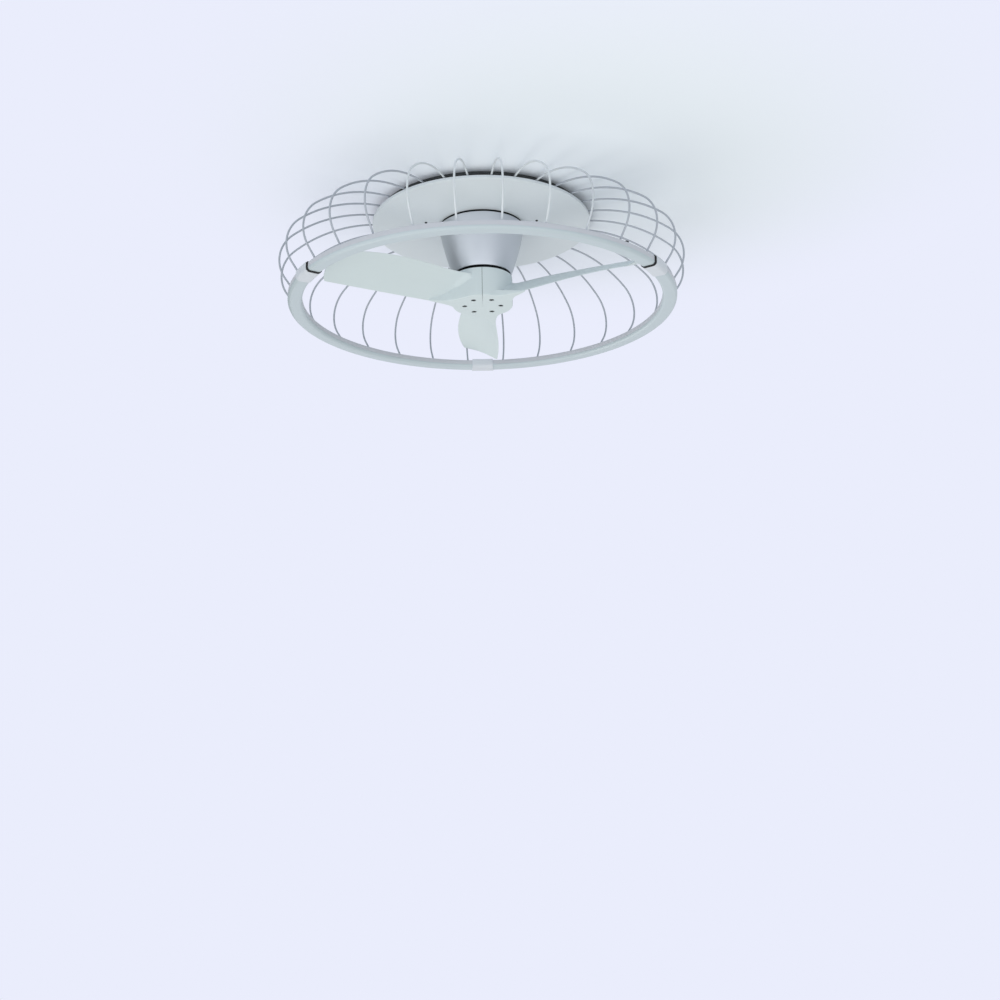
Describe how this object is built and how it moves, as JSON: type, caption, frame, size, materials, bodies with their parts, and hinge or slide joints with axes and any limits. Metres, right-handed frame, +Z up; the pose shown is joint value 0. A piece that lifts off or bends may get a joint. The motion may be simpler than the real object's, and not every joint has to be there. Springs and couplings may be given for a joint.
{
  "type": "orbital ceiling fan",
  "caption": "Ceiling fan with a flat canopy, a conical motor housing and short pitched blades inside a cage of bowed wires that carries a ring light.",
  "frame": {"origin": "centre of the ceiling screw pattern, on the ceiling face of the mounting plate", "axes": "+Z up into the ceiling along the spindle, the fan hangs towards -Z; the blade roots lie at 90, 210 and 330 degrees from +X towards +Y"},
  "size_m": [0.6304, 0.627, 0.1541],
  "materials": {
    "zinc_steel": "zinc plated",
    "dark_steel": "matt black paint",
    "cover_paint": "satin pale grey paint",
    "cover_screw_steel": "satin",
    "wire_paint": "satin silver-grey coating",
    "ring_paint": "satin silver-white paint",
    "sleeve_paint": "satin silver-white paint",
    "opal": "opal, soft gloss",
    "led_board": "white solder mask",
    "seal_rubber": "matt black",
    "housing_metal": "satin, finely brushed round the axis",
    "circuit_board": "green solder mask",
    "module_plastic": "matt black",
    "terminal_plastic": "off-white",
    "standoff_brass": "plain",
    "shaft_steel": "ground",
    "stator_steel": "stacked sheets",
    "winding_copper": "enamelled copper wire",
    "bearing_steel": "polished",
    "rotor_metal": "as cast, machined where it fits",
    "magnet": "dark ferrite",
    "blade_plastic": "satin pale grey-green",
    "blade_screw_steel": "satin"
  },
  "bodies": {
    "frame": {"ceiling_plate": "zinc_steel", "base_screws": "zinc_steel", "canopy_base": "dark_steel", "cable_grommet": "seal_rubber", "canopy_cover": "cover_paint", "cover_screws": "cover_screw_steel", "cage_hoop": "dark_steel", "cage_wires_1": "wire_paint", "cage_wires_2": "wire_paint", "cage_wires_3": "wire_paint", "cage_wires_4": "wire_paint", "cage_wires_5": "wire_paint", "cage_wires_6": "wire_paint", "ring_channel_1": "ring_paint", "ring_channel_2": "ring_paint", "ring_channel_3": "ring_paint", "ring_diffuser_1": "opal", "ring_diffuser_2": "opal", "ring_diffuser_3": "opal", "led_strip_1": "led_board", "led_strip_2": "led_board", "led_strip_3": "led_board", "joint_sleeve_1": "sleeve_paint", "joint_sleeve_2": "sleeve_paint", "joint_sleeve_3": "sleeve_paint", "ring_seals": "seal_rubber", "ring_grommet": "seal_rubber", "motor_bracket": "dark_steel", "bracket_screws": "zinc_steel", "motor_housing": "housing_metal", "housing_screws": "zinc_steel", "control_board": "circuit_board", "board_standoffs": "standoff_brass", "board_modules": "module_plastic", "terminal_block": "terminal_plastic", "spindle": "shaft_steel", "spindle_screws": "zinc_steel", "stator_core": "stator_steel", "stator_windings": "winding_copper", "bearing_inner_races": "bearing_steel", "spindle_clip": "shaft_steel"},
    "rotor": {"bearing_outer_races": "bearing_steel", "bearing_balls": "bearing_steel", "rotor_cup": "rotor_metal", "rotor_magnets": "magnet", "rotor_end_plate": "rotor_metal", "end_plate_screws": "zinc_steel", "hub_carrier": "rotor_metal", "carrier_screws": "zinc_steel", "blade_1": "blade_plastic", "blade_2": "blade_plastic", "blade_3": "blade_plastic", "blade_screws": "blade_screw_steel"}
  },
  "joints": [
    {"name": "rotor_spin", "type": "hinge", "parent": "frame", "child": "rotor", "pos_m": [0, 0, -0.067], "axis": [0, 0, 1], "continuous": true}
  ]
}
